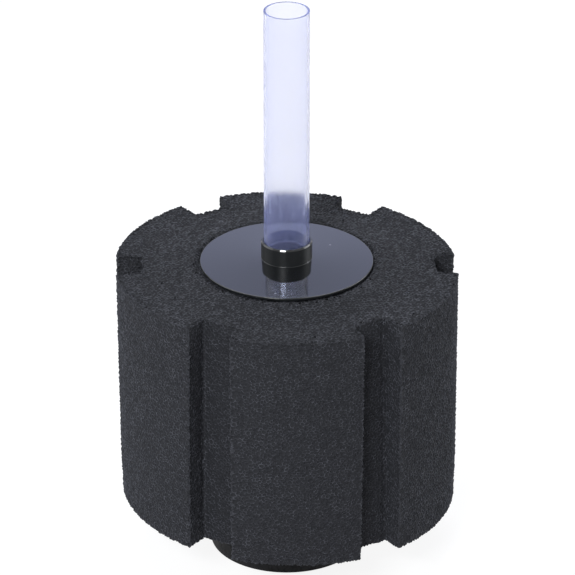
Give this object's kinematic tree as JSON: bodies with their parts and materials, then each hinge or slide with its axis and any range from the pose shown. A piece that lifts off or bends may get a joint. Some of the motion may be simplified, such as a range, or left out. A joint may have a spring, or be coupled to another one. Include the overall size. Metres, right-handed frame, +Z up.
{
  "type": "sponge filter",
  "caption": "Round grooved foam filter on a slotted core with a weighted base, a collared top plate and a clear lift tube through which air bubbles raise the water.",
  "frame": {"origin": "middle of the base's underside, on the axis of the lift tube", "axes": "+Z up along the lift tube; -Y is the side that the picture shows, +X is its right"},
  "size_m": [0.1194, 0.12, 0.2066],
  "materials": {
    "clear_tube": "gloss",
    "gloss_black": "gloss",
    "foam": "matte",
    "core_black": "satin",
    "nozzle_black": "satin",
    "base_black": "satin",
    "cover_black": "satin",
    "ballast": "matte"
  },
  "bodies": {
    "base": {"base_shell": "base_black", "base_cover": "cover_black", "ballast_ring": "ballast", "strainer_core": "core_black", "air_nozzle": "nozzle_black"},
    "foam": {"sponge": "foam"},
    "plate": {"top_plate": "gloss_black"},
    "tube": {"lift_tube": "clear_tube"}
  },
  "joints": [
    {"name": "sponge_lift", "type": "slide", "parent": "base", "child": "foam", "axis": [0, 0, 1], "range_m": [0, 0.09]},
    {"name": "plate_lift", "type": "slide", "parent": "foam", "child": "plate", "axis": [0, 0, 1], "range_m": [0, 0.02]},
    {"name": "tube_pull", "type": "slide", "parent": "plate", "child": "tube", "axis": [0, 0, 1], "range_m": [0, 0.02]}
  ]
}
